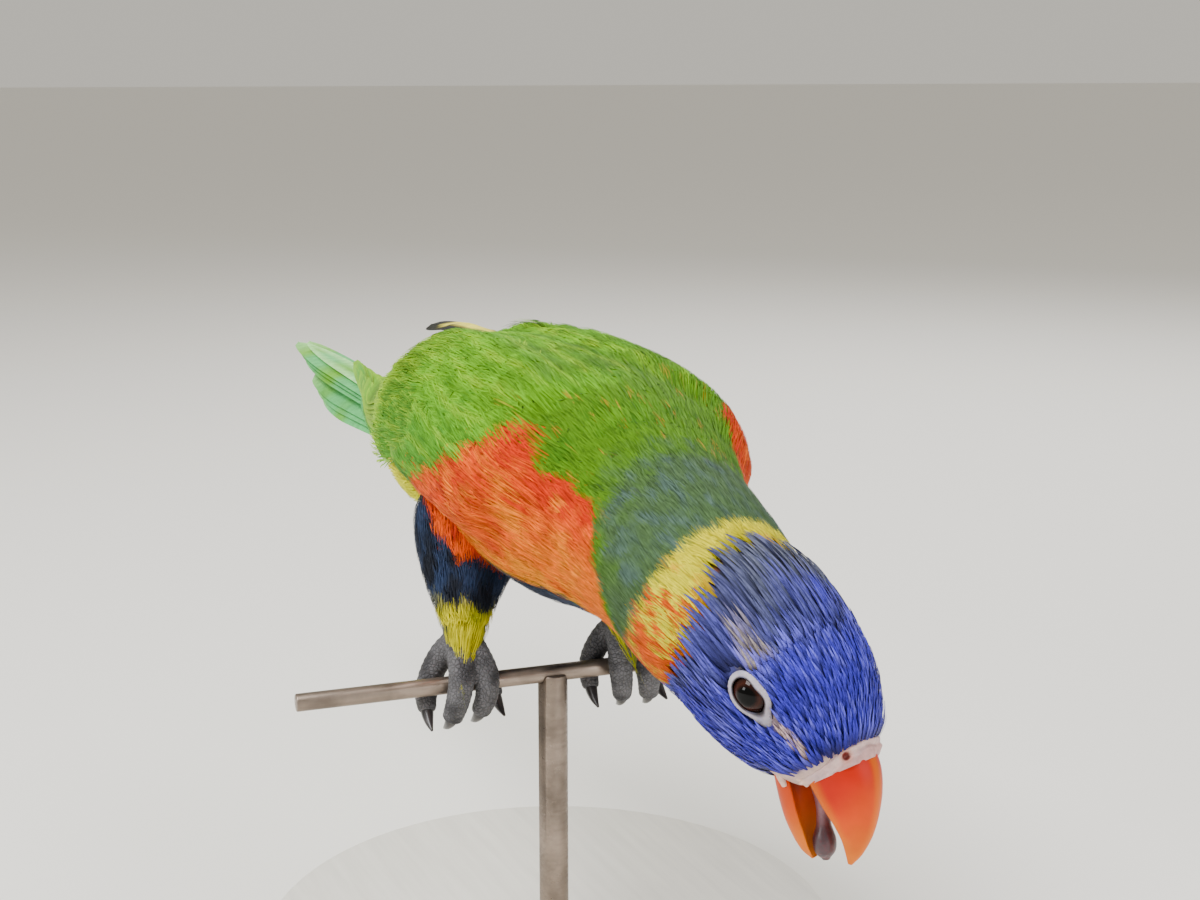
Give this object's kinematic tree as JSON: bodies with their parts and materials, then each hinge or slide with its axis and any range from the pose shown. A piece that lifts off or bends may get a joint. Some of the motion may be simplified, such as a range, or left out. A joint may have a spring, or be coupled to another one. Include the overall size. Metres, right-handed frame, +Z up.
{
  "type": "rainbow lorikeet",
  "caption": "Life-size rainbow lorikeet, still, leaning level over a cut length of steel wire it grips, head turned down with open beak, on a plain round stand.",
  "frame": {"origin": "centre of the round base's underside, on the floor", "axes": "+Z up, +X the way the bird's body points, +Y to the bird's left"},
  "size_m": [0.3044, 0.124, 0.1388],
  "materials": {
    "plumage_green": "feathers, satin",
    "plumage_grey_green": "feathers, satin",
    "plumage_blue": "feathers, satin",
    "plumage_yellow": "feathers, satin",
    "cere_skin": "bare skin, matt",
    "tongue_skin": "moist skin",
    "foot_skin": "scaly skin, matt",
    "beak_horn": "smooth horn, satin",
    "claw_horn": "smooth horn, satin",
    "eye": "wet gloss",
    "bare_steel": "dark bare steel",
    "painted_wood": "painted off-white, matt"
  },
  "bodies": {
    "root": {"torso": "plumage_green", "neck": "plumage_grey_green", "head": "plumage_blue", "cere": "cere_skin", "beak_upper": "beak_horn", "beak_lower": "beak_horn", "tongue": "tongue_skin", "eye_left": "eye", "eye_right": "eye", "wing_left": "plumage_green", "wing_right": "plumage_green", "tail": "plumage_green", "leg_left": "plumage_yellow", "leg_right": "plumage_yellow", "foot_left": "foot_skin", "foot_right": "foot_skin", "perch_wire": "bare_steel", "stand_rod": "bare_steel", "stand_base": "painted_wood", "claw_left_1": "claw_horn", "claw_left_2": "claw_horn", "claw_left_3": "claw_horn", "claw_left_4": "claw_horn", "claw_right_1": "claw_horn", "claw_right_2": "claw_horn", "claw_right_3": "claw_horn", "claw_right_4": "claw_horn"}
  },
  "joints": []
}
